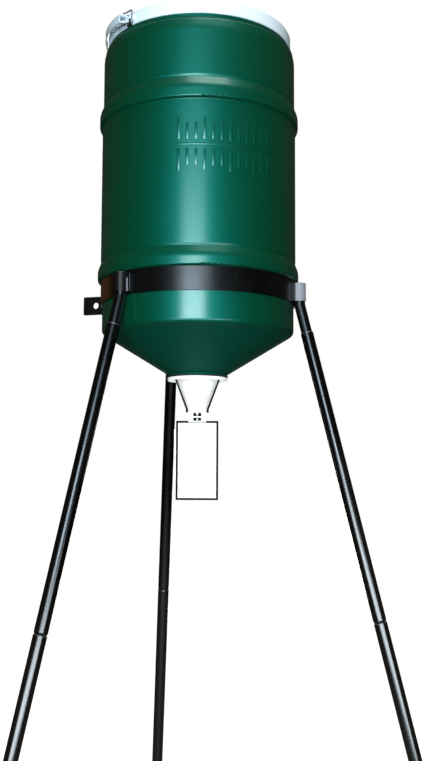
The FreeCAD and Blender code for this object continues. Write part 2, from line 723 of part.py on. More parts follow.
# --- straps ---------------------------------------------------------------
def strap_places():
    return [(x, y) for y in (-1, 1) for x in (-STRAP_X, STRAP_X)]


def hanger_straps():
    """Four bent straps that hang the control box from the funnel's flange."""
    inner = STRAP_Y + STRAP_T / 2
    under = FUNNEL_Z - SHEET - STRAP_T / 2
    path = [
        (-inner + STRAP_FOOT, BOX_TOP + STRAP_T / 2),
        (-inner, BOX_TOP + STRAP_T / 2),
        (-inner, FUNNEL_Z - 24.0),
        (-inner - 9.5, under),
        (-inner - 9.5 - STRAP_HEAD, under),
    ]
    strip = thick_path(path, STRAP_T)
    strip.translate(Vector(-STRAP_W / 2, 0, 0))
    front = strip.extrude(Vector(STRAP_W, 0, 0))
    straps = []
    rivets = []
    for x, y in strap_places():
        strap = front if y < 0 else turned(front, 180)
        strap = moved(strap, x, 0, 0)
        low = Vector(x, y * (STRAP_Y - RIVET_IN), BOX_TOP - SHEET - 1.0)
        high = Vector(x, y * (STRAP_Y + RIVET_OUT), FUNNEL_Z - SHEET - STRAP_T - 1.0)
        for point in (low, high):
            strap = strap.cut(rod(1.6, point - Vector(0, 0, 2), Vector(0, 0, 1), 10))
            length = SHEET + STRAP_T + (1.0 if point is low else 0.9)
            shank = rod(1.55, point, Vector(0, 0, 1), length)
            z = point.z + (SHEET + STRAP_T + 1.0 if point is low else -0.2)
            head = rod(2.8, Vector(point.x, point.y, z), Vector(0, 0, 1), 1.2)
            rivets.append(shank.fuse(head).removeSplitter())
        straps.append(strap)
    save("hanger_straps", *straps)
    save("strap_rivets", *rivets)


# --- spinner --------------------------------------------------------------
def spinner():
    """The plate that throws the feed, its hub, hub cap, set screws and shaft."""
    foot = BOX_TOP + HUB_FOOT_GAP
    below = PLATE_Z - PLATE_T
    axis = Vector(0, 0, 1)
    plate = Part.makeCylinder(PLATE_R, PLATE_T, Vector(0, 0, below))
    plate = plate.cut(Part.makeCylinder(HUB_NECK_R, PLATE_T, Vector(0, 0, below)))
    for i in range(VANES):
        corners = [Vector(HUB_R + 6, 0, 0), Vector(PLATE_R - 1, 0, 0),
                   Vector(PLATE_R - 1, 0, 1.5), Vector(HUB_R + 12, 0, VANE_H),
                   Vector(HUB_R + 6, 0, VANE_H)]
        vane = Part.Face(Part.makePolygon(corners + corners[:1]))
        vane = moved(vane, 0, -VANE_T / 2, PLATE_Z - 0.01).extrude(Vector(0, VANE_T, 0))
        plate = plate.fuse(turned(vane, i * 360 / VANES))
    save("spinner_plate", plate.removeSplitter())
    neck_top = PLATE_Z + 6.0
    hub = Part.makeCylinder(HUB_R, below - foot, Vector(0, 0, foot))
    hub = hub.fuse(Part.makeCylinder(HUB_NECK_R - 0.05, neck_top - below, Vector(0, 0, below)))
    hub = hub.cut(Part.makeCylinder(SHAFT_R, 60, Vector(0, 0, foot - 10)))
    cap_top = MOUTH_Z - 1.0
    cap = Part.makeCylinder(HUB_R, cap_top - PLATE_Z, Vector(0, 0, PLATE_Z))
    cap = cap.makeFillet(2.0, edges_at(cap, cap_top))
    cap = cap.cut(Part.makeCylinder(HUB_NECK_R, neck_top - PLATE_Z, Vector(0, 0, PLATE_Z)))
    screws = []
    hub_screw_z = (foot + below) / 2
    cap_screw_z = (neck_top + cap_top) / 2
    for z, depth in ((hub_screw_z, SHAFT_R + 0.1), (cap_screw_z, SHAFT_R + 0.1)):
        start = Vector(0, -HUB_R - 0.4, z)
        length = HUB_R + 0.4 - depth
        screw = rod(2.2, start, Vector(0, 1, 0), length)
        socket = rod(1.1, start, Vector(0, 1, 0), 1.5)
        screws.append(screw.cut(socket))
        hub = hub.cut(rod(2.2, start, Vector(0, 1, 0), length))
        cap = cap.cut(rod(2.2, start, Vector(0, 1, 0), length))
    shaft_top = (neck_top + cap_top) / 2 + 3.0
    cap = cap.cut(Part.makeCylinder(SHAFT_R, shaft_top - PLATE_Z, Vector(0, 0, PLATE_Z)))
    save("spinner_hub", hub.removeSplitter())
    save("hub_cap", cap.removeSplitter())
    save("set_screws", *screws)
    shaft_low = BOX_TOP - SHEET - SHAFT_SEAL_T - 22.0
    save("motor_shaft", Part.makeCylinder(SHAFT_R, shaft_top - shaft_low, Vector(0, 0, shaft_low), axis))


# --- control box ----------------------------------------------------------
def control_box():
    """A folded sheet box, open in front inside a lip."""
    half_w = BOX_W / 2
    half_d = BOX_D / 2
    shell = box(-half_w, half_w, -half_d, half_d, BOX_Z, BOX_TOP)
    shell = shell.makeFillet(BOX_ROUND, [e for e in edges_long(shell, BOX_H) if e.CenterOfMass.y > 0])
    room = box(-half_w + SHEET, half_w - SHEET, -half_d + SHEET, half_d - SHEET,
               BOX_Z + SHEET, BOX_TOP - SHEET)
    tall = edges_long(room, BOX_H - 2 * SHEET)
    room = room.makeFillet(BOX_ROUND - SHEET, [e for e in tall if e.CenterOfMass.y > 0])
    mouth = box(-half_w + BOX_LIP, half_w - BOX_LIP, -half_d - 1, -half_d + SHEET + 1,
                BOX_Z + BOX_LIP, BOX_TOP - BOX_LIP)
    shell = shell.cut(room).cut(mouth)
    shell = shell.cut(rod(SHAFT_R + 1.5, Vector(0, 0, BOX_TOP - 5), Vector(0, 0, 1), 10))
    for x in (-MOTOR_SCREW_X, MOTOR_SCREW_X):
        shell = shell.cut(rod(1.7, Vector(x, 0, BOX_TOP - 5), Vector(0, 0, 1), 10))
    for x, y in strap_places():
        spot = Vector(x, y * (STRAP_Y - RIVET_IN), BOX_TOP - 5)
        shell = shell.cut(rod(1.6, spot, Vector(0, 0, 1), 10))
    save("control_box", shell)
    save("door_seal", frame(-half_w, half_w, -half_d - SEAL_T + 0.3, -half_d,
                            BOX_Z, BOX_TOP, BOX_LIP - 2.0))


def works():
    """Motor, shaft seal, motor screws, battery, timer and contacts."""
    half_d = BOX_D / 2
    seal_z = BOX_TOP - SHEET - SHAFT_SEAL_T
    seal = Part.makeCylinder(10.0, SHAFT_SEAL_T, Vector(0, 0, seal_z))
    save("shaft_seal", seal.cut(Part.makeCylinder(SHAFT_R + 0.05, SHAFT_SEAL_T, Vector(0, 0, seal_z))))
    pad = Part.makeCylinder(MOTOR_R, SHAFT_SEAL_T, Vector(0, 0, seal_z))
    pad = pad.cut(Part.makeCylinder(10.0, SHAFT_SEAL_T, Vector(0, 0, seal_z)))
    gearbox = Part.makeCylinder(MOTOR_R, 22.0, Vector(0, 0, seal_z - 22.0))
    can = Part.makeCylinder(MOTOR_R - 3.0, MOTOR_H - 22.0, Vector(0, 0, seal_z - MOTOR_H))
    motor = gearbox.fuse(can).fuse(pad)
    motor = motor.cut(Part.makeCylinder(SHAFT_R + 0.05, 24.0, Vector(0, 0, seal_z - 22.5)))
    screws = []
    for x in (-MOTOR_SCREW_X, MOTOR_SCREW_X):
        head = rod(2.9, Vector(x, 0, BOX_TOP), Vector(0, 0, 1), 1.8)
        shank = rod(1.5, Vector(x, 0, BOX_TOP - 10.0), Vector(0, 0, 1), 10.0)
        motor = motor.cut(rod(1.5, Vector(x, 0, BOX_TOP - 10.0), Vector(0, 0, 1), 10.0))
        screws.append(head.fuse(shank).removeSplitter())
    save("gear_motor", motor.removeSplitter())
    save("motor_screws", *screws)
    floor = BOX_Z + SHEET
    bw, bd, bh = BATTERY
    back = half_d - SHEET
    battery = box(-bw / 2, bw / 2, back - 0.5 - bd, back - 0.5, floor, floor + bh)
    battery = battery.makeFillet(4.0, edges_long(battery, bh))
    save("battery", battery)
    tw, td, th = TIMER
    timer_z = floor + bh + 16.0
    timer = box(-tw / 2, tw / 2, back - td, back, timer_z, timer_z + th)
    timer = timer.makeFillet(2.0, edges_long(timer, th))
    save("timer_module", timer)
    contacts = []
    for x in (-14.0, 14.0):
        contacts.append(box(x - 3, x + 3, back - td / 2 - 0.6, back - td / 2 + 0.6,
                            floor + bh, timer_z))
    save("battery_contacts", *contacts)


# --- door, hinge and lock -------------------------------------------------
HINGE_X = -BOX_W / 2 - HINGE_R - HINGE_GAP
HINGE_Y = DOOR_Y - SHEET / 2
LOCK_X = BOX_W / 2 - LOCK_INSET
LOCK_Z = BOX_Z + BOX_H / 2


def knuckles(first, radius, web_y0, web_y1, web_end):
    """Every other knuckle of the hinge, each on a web that runs to the right."""
    low = BOX_Z + (BOX_H - HINGE_L) / 2
    step = HINGE_L / KNUCKLES
    pieces = []
    for i in range(first, KNUCKLES, 2):
        z0 = low + i * step + HINGE_GAP
        z1 = low + (i + 1) * step - HINGE_GAP
        knuckle = Part.makeCylinder(HINGE_R, z1 - z0, Vector(HINGE_X, HINGE_Y, z0))
        web = box(HINGE_X, web_end, web_y0, web_y1, z0, z1)
        bore = Part.makeCylinder(radius, z1 - z0, Vector(HINGE_X, HINGE_Y, z0))
        pieces.append(knuckle.fuse(web).cut(bore))
    return pieces


def door():
    """A sheet door whose left edge is rolled into knuckles; an edge trim on its front."""
    half_w = BOX_W / 2
    front = DOOR_Y - SHEET
    leaf = box(-half_w, half_w, front, DOOR_Y, BOX_Z, BOX_TOP)
    for knuckle in knuckles(1, HINGE_PIN_R + PIN_GAP, front, DOOR_Y, 1 - half_w):
        leaf = leaf.fuse(knuckle)
    lock_hole = rod(KNOB_R - 2.0, Vector(LOCK_X, DOOR_Y - 5, LOCK_Z), Vector(0, 1, 0), 10)
    save("door", leaf.cut(lock_hole).removeSplitter())
    trim = frame(-half_w, half_w, front - TRIM_T, front, BOX_Z, BOX_TOP, TRIM_W)
    notch = box(-NOTCH_W / 2, NOTCH_W / 2, front - TRIM_T, front, BOX_TOP - NOTCH_H, BOX_TOP)
    save("door_trim", trim.cut(notch))


def hinge():
    """The hinge's leaf on the box's left side, and its pin."""
    low = BOX_Z + (BOX_H - HINGE_L) / 2
    side = -BOX_W / 2
    leaf = box(side - 1.5, side, HINGE_Y + 4.0, HINGE_Y + 20.0, low, low + HINGE_L)
    for knuckle in knuckles(0, HINGE_PIN_R, HINGE_Y + 0.5, HINGE_Y + 4.5, side - HINGE_GAP):
        leaf = leaf.fuse(knuckle)
    save("hinge_box_leaf", leaf.removeSplitter())
    save("hinge_pin", Part.makeCylinder(HINGE_PIN_R, HINGE_L, Vector(HINGE_X, HINGE_Y, low)))


def door_lock():
    """A quarter-turn lock: knob in front, shank through the door, cam behind."""
    front = Vector(LOCK_X, DOOR_Y - SHEET - 0.2, LOCK_Z)
    knob = rod(KNOB_R, front, Vector(0, -1, 0), KNOB_H)
    rim = [e for e in knob.Edges if abs(e.BoundBox.YMax - front.y + KNOB_H) < 0.01]
    knob = knob.makeFillet(1.2, rim)
    slot = box(LOCK_X - 1.2, LOCK_X + 1.2, front.y - KNOB_H - 1, front.y - KNOB_H + 2.2,
               LOCK_Z - KNOB_R, LOCK_Z + KNOB_R)
    cam_y = -BOX_D / 2 + SHEET + 0.4
    shank = rod(KNOB_R - 2.0 - PIN_GAP, Vector(LOCK_X, cam_y + CAM_T, LOCK_Z), Vector(0, -1, 0),
                cam_y + CAM_T - front.y)
    cam = box(LOCK_X - CAM_W / 2, LOCK_X + CAM_W / 2, cam_y, cam_y + CAM_T,
              LOCK_Z - CAM_W / 2, LOCK_Z + CAM_L)
    save("door_lock", knob.cut(slot).fuse(shank).fuse(cam).removeSplitter())


barrel()
lid()
lock_ring()
ring_bracket()
latch_lever()
latch_bail()
ring_hook()
support_band()
leg_stubs()
legs()
feet()
funnel()
hanger_straps()
spinner()
control_box()
works()
door()
hinge()
door_lock()
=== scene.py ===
# %% [markdown]
# # A tripod game feeder
# This lesson dresses a feeder that was modelled elsewhere as exact solids. The solids come in as a
# fixed frame, and the lesson adds what such solids lack: weld beads, screw recesses, and a finish
# with its own grain and wear for every surface. The frame is loaded first, because every
# later step takes its places from it.

# %% Load the frame
import json
import math

import bpy
from mathutils import Matrix, Vector


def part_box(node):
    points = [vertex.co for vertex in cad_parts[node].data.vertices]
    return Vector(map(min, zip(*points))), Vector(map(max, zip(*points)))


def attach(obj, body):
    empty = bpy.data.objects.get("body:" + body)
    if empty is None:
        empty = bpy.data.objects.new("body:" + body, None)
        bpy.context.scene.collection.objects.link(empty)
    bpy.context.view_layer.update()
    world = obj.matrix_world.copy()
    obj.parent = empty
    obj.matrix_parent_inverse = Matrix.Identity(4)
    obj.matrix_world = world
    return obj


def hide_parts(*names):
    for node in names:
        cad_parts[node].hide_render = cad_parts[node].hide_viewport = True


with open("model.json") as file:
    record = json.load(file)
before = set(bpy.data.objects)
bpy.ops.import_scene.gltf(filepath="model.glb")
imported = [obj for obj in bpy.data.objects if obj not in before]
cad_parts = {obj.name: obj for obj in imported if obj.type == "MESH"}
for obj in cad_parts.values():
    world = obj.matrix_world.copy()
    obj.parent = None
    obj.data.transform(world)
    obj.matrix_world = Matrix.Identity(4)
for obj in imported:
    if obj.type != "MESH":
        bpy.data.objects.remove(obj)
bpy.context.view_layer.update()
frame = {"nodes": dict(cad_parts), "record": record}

nodes = frame["nodes"]

# %% [markdown]
# ## The camera
# The feeder is seen by someone who stands in front of it and looks slightly up, so its legs leave the
# picture at the bottom. A camera is three directions and a place. The directions are worked
# out from how far it turns, tips and rolls, and put straight into its matrix, which is easier to
# keep exact than three chained rotations.

# %% Camera
PICTURE_H = 761
FOCAL = 947.0               # in picture heights' own units, like PICTURE_H
SENSOR = 36.0
band_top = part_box("support_band")[1].z
EYE = Vector((0.0, -2.344, band_top - 0.440))
TURN = math.radians(0.909)
TIP = math.radians(4.90)
ROLL = math.radians(0.284)

level_right = Vector((math.cos(TURN), -math.sin(TURN), 0))
level_ahead = Vector((math.sin(TURN), math.cos(TURN), 0))
ahead = level_ahead * math.cos(TIP) + Vector((0, 0, math.sin(TIP)))
above = Vector((0, 0, math.cos(TIP))) - level_ahead * math.sin(TIP)
right = level_right * math.cos(ROLL) + above * math.sin(ROLL)
above = above * math.cos(ROLL) - level_right * math.sin(ROLL)

lens = bpy.data.cameras.new("camera")
lens.sensor_width = SENSOR
lens.lens = FOCAL / PICTURE_H * SENSOR
lens.clip_end = 200
camera = bpy.data.objects.new("camera", lens)
bpy.context.scene.collection.objects.link(camera)
turn = Matrix((right, above, -ahead)).transposed()
camera.matrix_world = Matrix.Translation(EYE) @ turn.to_4x4()
bpy.context.scene.camera = camera
print("eye height:", round(EYE.z, 3), "lens:", round(lens.lens, 2))

# %% [markdown]
# ## Sums on sockets
# A finish is a small calculation that runs at every point of a surface. Node by node it is slow to
# write and hard to read, so one small class lets a socket take part in ordinary sums, and
# every sum adds its Math node. All other nodes come from one method.

# %% Sockets and finishes
class Value:
    """A socket that can be used in sums."""

    def __init__(self, finish, socket):
        self.finish, self.socket = finish, socket

    def _sum(self, operation, first, second):
        return self.finish.node("ShaderNodeMath", {"operation": operation},
                                {0: first, 1: second})

    def __add__(self, other):
        return self._sum("ADD", self, other)

    def __sub__(self, other):
        return self._sum("SUBTRACT", self, other)

    def __rsub__(self, other):
        return self._sum("SUBTRACT", other, self)

    def __mul__(self, other):
        return self._sum("MULTIPLY", self, other)


class Finish:
    """A material whose nodes are made one call at a time."""

    def __init__(self, name):
        self.material = bpy.data.materials.new(name)
        self.material.use_nodes = True
        self.tree = self.material.node_tree
        self.tree.nodes.clear()
        self.place = self.node("ShaderNodeTexCoord", output="Object")

    def node(self, kind, settings=None, inputs=None, output=0):
        made = self.tree.nodes.new(kind)
        for key, value in (settings or {}).items():
            if key == "stops":
                self.set_stops(made.color_ramp, value)
            else:
                setattr(made, key, value)
        for key, value in (inputs or {}).items():
            if isinstance(value, Value):
                self.tree.links.new(value.socket, made.inputs[key])
            else:
                made.inputs[key].default_value = value
        return Value(self, made.outputs[output])

    def set_stops(self, ramp, stops):
        while len(ramp.elements) < len(stops):
            ramp.elements.new(1.0)
        for element, (place, colour) in zip(ramp.elements, stops):
            element.position = place
            element.color = (*colour, 1)

    def noise(self, scale, detail=3.0, rough=0.5, stretch=(1, 1, 1)):
        at = self.node("ShaderNodeMapping", None, {"Vector": self.place, "Scale": stretch},
                       "Vector")
        return self.node("ShaderNodeTexNoise", None, {
            "Vector": at, "Scale": scale, "Detail": detail, "Roughness": rough}, "Fac")

    def step(self, value, low, high):
        """0 below low, 1 above high, smooth between."""
        return self.node("ShaderNodeMapRange", {"interpolation_type": "SMOOTHSTEP"}, {
            "Value": value, "From Min": low, "From Max": high}, "Result")

    def blend(self, factor, first, second):
        return self.node("ShaderNodeMix", {"data_type": "RGBA"},
                         {0: factor, 6: first, 7: second}, 2)

    def along(self, axis):
        """The place along one axis, in metres."""
        return self.node("ShaderNodeSeparateXYZ", None, {0: self.place}, axis)

    def from_axis(self):
        """Distance from the barrel's axis, in metres."""
        flat = self.node("ShaderNodeVectorMath", {"operation": "MULTIPLY"},
                         {0: self.place, 1: (1, 1, 0)}, "Vector")
        return self.node("ShaderNodeVectorMath", {"operation": "LENGTH"}, {0: flat}, "Value")

    def facing(self, x, y):
        """1 where the surface faces this level way."""
        normal = self.node("ShaderNodeNewGeometry", output="Normal")
        return self.node("ShaderNodeVectorMath", {"operation": "DOT_PRODUCT"},
                         {0: normal, 1: (x, y, 0)}, "Value")

    def bump(self, height, strength, distance):
        return self.node("ShaderNodeBump", None, {
            "Height": height, "Strength": strength, "Distance": distance}, "Normal")

    def surface(self, **inputs):
        named = {key.replace("_", " "): value for key, value in inputs.items()}
        skin = self.node("ShaderNodeBsdfPrincipled", None, named, "BSDF")
        self.node_output(skin)
        return self.material

    def node_output(self, skin):
        out = self.tree.nodes.new("ShaderNodeOutputMaterial")
        self.tree.links.new(skin.socket, out.inputs["Surface"])


def rgb(red, green, blue):
    return (red, green, blue, 1)

# %% [markdown]
# ## The barrel's plastic
# The barrel is blow-moulded in dark green plastic. Its colour is in the plastic, so it has no chips,
# but it is never quite even: the melt leaves faint upright flow marks, and the wall ripples
# a little. Handling dulls the proud hoops. All of this is built from stretched noise, and the
# ripple only bends the reflections. The cone's skin is duller than the wall's.

# %% Barrel plastic
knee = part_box("support_band")[0].z - 0.071


def barrel_plastic():
    skin = Finish("green_barrel")
    flow = skin.noise(9, 4, 0.6, (1, 1, 0.12))
    cloud = skin.noise(3.5, 3, 0.55)
    grain = skin.noise(260, 2, 0.6)
    dull = skin.step(skin.noise(24, 5, 0.65), 0.55, 0.75)
    wall = skin.step(skin.along("Z"), knee - 0.012, knee + 0.004)
    colour = skin.blend(flow * 0.6 + cloud * 0.4, rgb(0.0, 0.027, 0.0088), rgb(0.0, 0.042, 0.0140))
    ripple = skin.noise(6, 2, 0.4, (1, 1, 0.35)) + grain * 0.015
    return skin.surface(
        Base_Color=colour,
        Roughness=dull * 0.08 + grain * 0.05 + 0.62 - wall * 0.18,
        IOR=1.75,
        Specular_Tint=rgb(0.0, 0.90, 0.84),
        Coat_Weight=wall * 0.50,
        Coat_Roughness=0.22,
        Normal=skin.bump(ripple, 0.20, 0.006),
    )


# %% [markdown]
# ## Painted steel
# The band and its stubs are satin black, and the legs are gloss black. Both are the same paint over
# steel with a different gloss: an orange-peel ripple from spraying, fine dust that greys it,
# and thin patches where the tubes rub in their sockets. One function makes both. The legs' clear
# lacquer thins out upwards, and the band's far left end is tinted reddish brown, a painted warm
# reflection at its edge. The saddles have a finish of their own: black, with a painted highlight in
# pale grey-blue on the faces that catch the light. These masks come from places on the feeder: a
# height, a distance from the barrel's axis, or the way that a face looks.

# %% Black paint
LACQUER_FADE = 1.35         # full lacquer below this height
LACQUER_END = 1.75          # none above this one
LACQUER_SLANT = 0.40        # how much higher it reaches on the right leg
WARM_EDGE_SIDE = (0.195, 0.232)  # how far left the painted warm reflection starts, and is full
WARM_EDGE_SKIN = (0.2430, 0.2440)        # it stays on the band, inside the stubs
FLAT_LOOKS = (0.714, -0.700)        # the way that the left saddle's lit flat looks
FLAT_INNER = (0.2470, 0.2485)       # its painted highlight strip, from the barrel's axis
FLAT_OUTER = (0.2515, 0.2535)
FLAT_TOP = (0.022, 0.016)           # and below the band's top
RIGHT_INNER = (0.2475, 0.2500)      # the right saddle gets its painted highlight beyond this


def black_paint(name, gloss, peel, lacquer, warm_edge):
    """The lacquer thins out towards the top, and a painted warm reflection tints the band's far left.
    """
    skin = Finish(name)
    peel_height = skin.noise(peel, 2, 0.5)
    dust = skin.step(skin.noise(14, 6, 0.7, (1, 1, 0.4)), 0.45, 0.8)
    scuff = skin.step(skin.noise(75, 5, 0.7, (1, 1, 0.15)), 0.70, 0.80)
    colour = skin.blend(dust * 0.35, rgb(0.001, 0.001, 0.001), rgb(0.006, 0.006, 0.006))
    # Painted reflection: the band's far left turns reddish brown, as if it mirrored a warm surround.
    left = skin.step(0.0 - skin.along("X"), *WARM_EDGE_SIDE)
    warm_edge_mask = left * (1.0 - skin.step(skin.from_axis(), *WARM_EDGE_SKIN)) * warm_edge
    colour = skin.blend(warm_edge_mask, colour, rgb(0.075, 0.022, 0.008))
    height = skin.along("Z") - skin.along("X") * LACQUER_SLANT
    low = 1.0 - skin.step(height, LACQUER_FADE, LACQUER_END)
    return skin.surface(
        Base_Color=skin.blend(scuff * 0.2, colour, rgb(0.06, 0.06, 0.06)),
        Roughness=dust * 0.08 + scuff * 0.10 + gloss,
        IOR=1.40,
        Specular_Tint=rgb(0.78, 0.89, 1.0),
        Coat_Weight=low * lacquer,
        Coat_IOR=1.9,
        Coat_Roughness=0.22,
        Normal=skin.bump(peel_height, 0.12, 0.0008),
    )


def saddle_painted_highlight():
    """Black paint with a painted highlight on the right saddle and on one flat of the left one."""
    skin = Finish("saddle_painted_highlight")
    # Painted highlight: the right saddle and the left one's lit flat turn pale grey-blue.
    side = skin.step(skin.along("X"), -0.01, 0.01)
    far, high = skin.from_axis(), skin.along("Z")
    left = skin.step(skin.facing(*FLAT_LOOKS), 0.985, 0.997) * (1.0 - side)
    left = left * skin.step(far, *FLAT_INNER) * (1.0 - skin.step(far, *FLAT_OUTER))
    left = left * (1.0 - skin.step(high, *(band_top - drop for drop in FLAT_TOP)))
    right = skin.step(far, *RIGHT_INNER) * side
    grain = skin.noise(160, 4, 0.6, (1, 1, 0.3))
    return skin.surface(
        Base_Color=skin.blend(left + right, rgb(0.002, 0.002, 0.002), rgb(0.22, 0.228, 0.268)),
        Roughness=grain * 0.15 + 0.40,
        IOR=1.35,
        Normal=skin.bump(grain, 0.10, 0.0004),
    )


# %% [markdown]
# ## White sheet
# Funnel, straps, box and door are white powder coat. Powder melts into a fine pebbled skin, so the
# white is soft, never mirror-like. A trace of grime gathers in low spots. The white also glows
# faintly, a painted light that keeps it bright on its shaded sides.

# %% White powder coat
def white_coat():
    skin = Finish("white_sheet")
    pebble = skin.noise(900, 2, 0.5)
    grime = skin.step(skin.noise(18, 6, 0.7), 0.5, 0.85)
    return skin.surface(
        Base_Color=skin.blend(grime * 0.3, rgb(0.95, 0.95, 0.945), rgb(0.84, 0.83, 0.80)),
        Roughness=pebble * 0.12 + 0.36,
        # Painted light: a faint white glow, though the sheet is no lamp.
        Emission_Color=rgb(1.0, 1.0, 1.0),
        Emission_Strength=0.22,
        Normal=skin.bump(pebble, 0.10, 0.0003),
    )


# %% [markdown]
# ## Zinc and plated steel
# The lock ring, its latch and the screws are zinc-plated. Fresh zinc is pale with a blue
# passivated sheen that drifts in broad patches, over the fine lines that rolling leaves along
# the strip. The small parts are greyer.

# %% Zinc plate
def zinc_plate(name, pale, blue, metal, stretch):
    skin = Finish(name)
    drift = skin.noise(7, 3, 0.5)
    lines = skin.noise(420, 3, 0.6, stretch)
    spangle = skin.node("ShaderNodeTexVoronoi", None, {"Vector": skin.place, "Scale": 130.0},
                        "Distance")
    return skin.surface(
        Base_Color=skin.blend(drift * 0.8 + spangle * 0.2, rgb(*pale), rgb(*blue)),
        Metallic=drift * 0.1 + (metal - 0.05),
        Roughness=lines * 0.16 + drift * 0.12 + 0.22,
        Normal=skin.bump(lines, 0.06, 0.0004),
    )


# %% [markdown]
# ## Rubber, small plastics and brass
# These are small or inside the box, yet each still gets its own grain: dull moulded plastic with a
# fine texture, rubber with a chalky bloom, and rolled brass with lines along the strip.

# %% Small finishes
def moulded(name, dark, light, rough, grain_size, gloss=0.5):
    skin = Finish(name)
    grain = skin.noise(grain_size, 3, 0.6)
    bloom = skin.step(skin.noise(22, 5, 0.65), 0.45, 0.8)
    return skin.surface(
        Base_Color=skin.blend(bloom * 0.6 + grain * 0.2, rgb(*dark), rgb(*light)),
        Roughness=grain * 0.12 + bloom * 0.08 + rough,
        Specular_IOR_Level=gloss,
        Normal=skin.bump(grain, 0.15, 0.0003),
    )


finishes = {
    "green_barrel": barrel_plastic(),
    "lid_plastic": moulded("lid_plastic", (0.010, 0.010, 0.011), (0.03, 0.03, 0.03), 0.42, 600.0),
    # The gasket is a real part, and its black under the barrel's rim also stands in for the rim's
    # shadow.
    "black_gasket": moulded("black_gasket", (0.008, 0.008, 0.008), (0.03, 0.03, 0.03), 0.60, 800.0),
    "zinc_ring": zinc_plate("zinc_ring", (0.93, 0.98, 1.00), (0.62, 0.80, 0.95), 0.12, (1, 1, 6)),
    "zinc_wire": zinc_plate("zinc_wire", (0.55, 0.56, 0.57), (0.42, 0.45, 0.48), 0.9, (1, 1, 0.2)),
    "band_paint": black_paint("band_paint", 0.30, 420.0, 0.0, 0.8),
    "saddle_painted_highlight": saddle_painted_highlight(),
    "cap_plastic": moulded("cap_plastic", (0.20, 0.21, 0.23), (0.32, 0.34, 0.37), 0.45, 700.0),
    "leg_paint": black_paint("leg_paint", 0.22, 300.0, 1.0, 0.0),
    "white_sheet": white_coat(),
    "black_trim": moulded("black_trim", (0.003, 0.003, 0.003), (0.01, 0.01, 0.01), 0.55, 900.0, 0.06),
    "zinc_screws": zinc_plate("zinc_screws", (0.68, 0.69, 0.70), (0.50, 0.53, 0.56), 0.9, (6, 1, 1)),
    "motor_can": zinc_plate("motor_can", (0.52, 0.52, 0.52), (0.38, 0.40, 0.42), 0.95, (1, 1, 5)),
    "battery_case": moulded("battery_case", (0.02, 0.02, 0.022), (0.05, 0.05, 0.055), 0.5, 500.0),
    "timer_case": moulded("timer_case", (0.12, 0.13, 0.14), (0.20, 0.21, 0.22), 0.48, 700.0),
    "rubbed_steel": zinc_plate("rubbed_steel", (0.30, 0.30, 0.29), (0.16, 0.16, 0.16), 0.8, (1, 1, 4)),
    "brass_strip": zinc_plate("brass_strip", (0.80, 0.58, 0.24), (0.62, 0.42, 0.16), 0.95, (1, 1, 5)),
}
slot_of = {part["node"]: part["material_slot"] for part in frame["record"]["subparts"]}
for name, piece in nodes.items():
    piece.data.materials.clear()
    # The saddles take the black paint with its painted highlight.
    lit_saddle = name.startswith("stub_saddle")
    piece.data.materials.append(finishes["saddle_painted_highlight" if lit_saddle else slot_of[name]])
print("finishes:", len(finishes))

# %% [markdown]
# ## Tools for added pieces
# Every added piece starts as a primitive, is shaped with the same operators as by hand, and ends as
# one mesh whose object sits at the origin. Three small tools do what all of them need: select
# one object, join several into one, and apply a modifier.

# %% Tools
MM = 0.001


def only(*chosen):
    """Selects these objects and makes the first one active."""
    bpy.ops.object.select_all(action="DESELECT")
    for obj in chosen:
        obj.select_set(True)
    bpy.context.view_layer.objects.active = chosen[0]


def joined(parts, name):
    """One object made of several, at the origin."""
    only(*parts)
    if len(parts) > 1:
        bpy.ops.object.join()
    bpy.ops.object.transform_apply(location=True, rotation=True, scale=True)
    whole = bpy.context.object
    whole.name = name
    return whole


def applied(obj, kind, **settings):
    only(obj)
    modifier = obj.modifiers.new(kind.lower(), kind)
    for key, value in settings.items():
        setattr(modifier, key, value)
    bpy.ops.object.modifier_apply(modifier=modifier.name)
    return obj


def finished(obj, finish, body, angle=40):
    """Outward normals, soft shading, a finish and a body to ride on."""
    only(obj)
    bpy.ops.object.mode_set(mode="EDIT")
    bpy.ops.mesh.select_all(action="SELECT")
    bpy.ops.mesh.normals_make_consistent(inside=False)
    bpy.ops.object.mode_set(mode="OBJECT")
    bpy.ops.object.shade_smooth_by_angle(angle=math.radians(angle))
    obj.data.materials.clear()
    obj.data.materials.append(finishes[finish])
    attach(obj, body)
    print(obj.name, len(obj.data.polygons), "faces")


def around(azimuth, radius, height, side=0.0):
    """A point round the barrel's axis: azimuth in degrees from the front, side along the curve."""
    angle = math.radians(azimuth)
    out = Vector((math.sin(angle), -math.cos(angle), 0))
    along = Vector((math.cos(angle), math.sin(angle), 0))
    return out * radius + along * side + Vector((0, 0, height))

# %% [markdown]
# ## Weld beads
# A hand weld is a row of overlapping drops. Each bead here is a row of small spheres at one
# pitch, joined and remeshed to a single skin, so the ripples stay and the insides go. Beads hold the
# saddles and the tab to the band, and run round each leg's end on its foot.

# %% Weld beads
LEG_AZIMUTHS = {"left": -44.43, "right": 75.57, "rear": -164.43}
TAB_AZIMUTH = -108.0
band_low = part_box("support_band")[0].z
band_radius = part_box("support_band")[1].x
saddle_low, saddle_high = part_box("stub_saddle_left")[0].z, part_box("stub_saddle_left")[1].z
SADDLE_HALF = 15.4 * MM


def bead(name, start, end, radius):
    """A straight bead between two points."""
    count = max(2, round((end - start).length / (radius * 0.9)))
    drops = []
    for i in range(count + 1):
        place = start.lerp(end, i / count)
        bpy.ops.mesh.primitive_uv_sphere_add(segments=12, ring_count=8, radius=radius,
                                             location=place)
        drops.append(bpy.context.object)
    return joined(drops, name)


